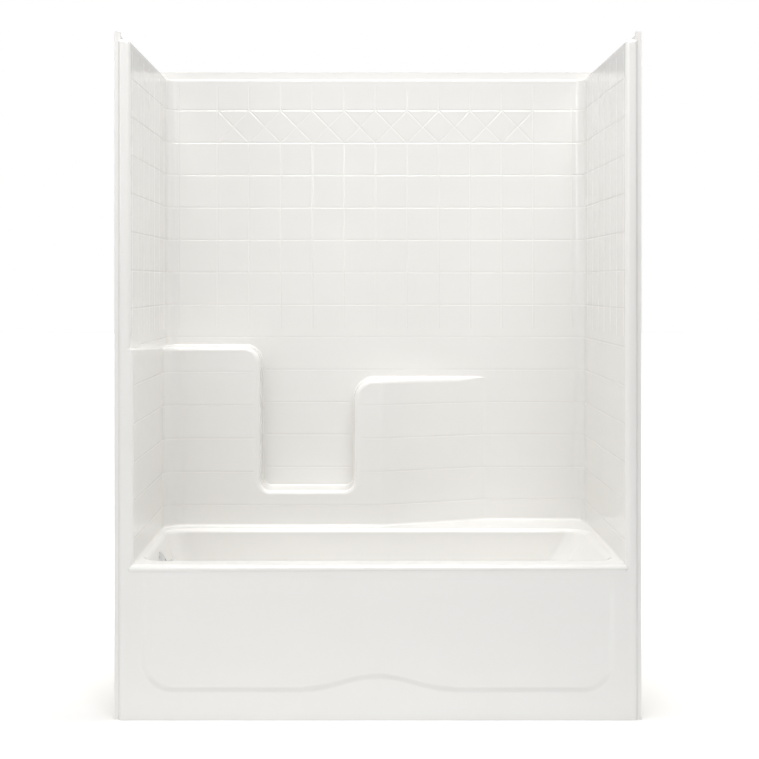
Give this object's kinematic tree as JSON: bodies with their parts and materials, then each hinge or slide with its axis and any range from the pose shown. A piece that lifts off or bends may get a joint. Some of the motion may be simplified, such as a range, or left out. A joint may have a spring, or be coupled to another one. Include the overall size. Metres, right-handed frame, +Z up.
{
  "type": "tub and shower unit",
  "caption": "White moulded alcove tub and shower unit with tiled walls, stepped ledges, apron, trip-lever waste and overflow.",
  "frame": {"origin": "bottom centre of the whole unit's box, on the floor that it stands on", "axes": "+X to the right seen from the open front, +Y towards the back wall, +Z up"},
  "size_m": [1.524, 0.813, 1.989],
  "materials": {
    "gelcoat": "glossy white gelcoat",
    "timber": "sawn softwood and plywood",
    "chrome": "polished chrome",
    "brass": "rough brass tubing",
    "rubber": "black rubber"
  },
  "bodies": {
    "unit": {"wall_surround": "gelcoat", "tub_base": "gelcoat", "back_wall_strips": "timber", "left_wall_strips": "timber", "right_wall_strips": "timber", "floor_board": "timber", "base_runners": "timber", "base_cleats": "timber", "threshold_board": "timber", "apron_braces": "timber", "deck_ledger": "timber", "ledger_posts": "timber", "overflow_plate": "chrome", "plate_screws": "chrome", "drain_flange": "chrome", "drain_strainer": "chrome", "strainer_screw": "chrome", "lever_pivot_pin": "brass", "overflow_head": "brass", "overflow_pipe": "brass", "waste_tee": "brass", "tailpiece": "brass", "waste_shoe": "brass", "waste_pipe": "brass", "slip_nuts": "brass", "overflow_gasket": "rubber", "shoe_gasket": "rubber", "slip_washers": "rubber"},
    "lever": {"trip_lever": "chrome"},
    "plunger": {"lift_rod": "brass", "plunger": "brass", "plunger_nut": "brass"}
  },
  "joints": [
    {"name": "lever_hinge", "type": "hinge", "parent": "unit", "child": "lever", "pos_m": [-0.6702, -0.07, 0.38542], "axis": [0, 1, 0], "range_deg": [-22, 22]},
    {"name": "plunger_slide", "type": "slide", "parent": "unit", "child": "plunger", "axis": [0, 0, 1], "range_m": [-0.0175, 0.0175]}
  ],
  "couplings": [
    {"joint": "plunger_slide", "follows": "lever_hinge", "m_per_rad": 0.0448}
  ]
}
